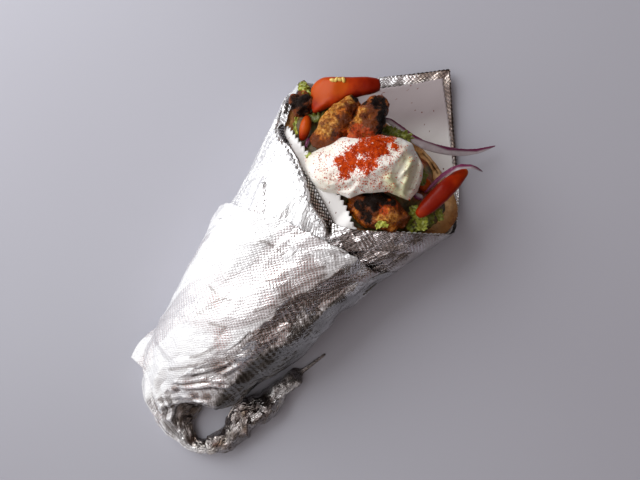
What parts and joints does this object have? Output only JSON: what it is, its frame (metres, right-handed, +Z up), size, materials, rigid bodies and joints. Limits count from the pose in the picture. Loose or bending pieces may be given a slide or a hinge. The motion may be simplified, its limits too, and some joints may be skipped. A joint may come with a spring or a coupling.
{
  "type": "souvlaki pita wrap",
  "caption": "Souvlaki pita of grilled chicken, salad, tomato, onion and yogurt sauce with paprika, rolled in a foil and paper wrap with a twisted, hooked tail.",
  "frame": {"origin": "middle of the footprint's bounding box, on the plane the wrap rests on", "axes": "+Y along the wrap from its tail to the open mouth and flap, +Z up, +X towards the side the tail hooks round to"},
  "size_m": [0.1103, 0.2496, 0.0591],
  "materials": {
    "foil": "bright, finely embossed, crumpled",
    "paper": "matt white paper",
    "bread": "matt, toasted",
    "salad": "damp leaf",
    "chicken": "grilled and charred, slightly moist",
    "sauce": "creamy, satin",
    "tomato": "wet",
    "onion": "wet, translucent"
  },
  "bodies": {
    "root": {"foil_wrapper": "foil", "paper_lining": "paper", "pita": "bread", "salad": "salad", "chicken_1": "chicken", "chicken_2": "chicken", "chicken_3": "chicken", "chicken_4": "chicken", "tomato_1": "tomato", "tomato_2": "tomato", "tomato_3": "tomato", "tomato_4": "tomato", "onion_1": "onion", "onion_2": "onion", "onion_3": "onion", "onion_4": "onion", "sauce": "sauce"}
  },
  "joints": []
}
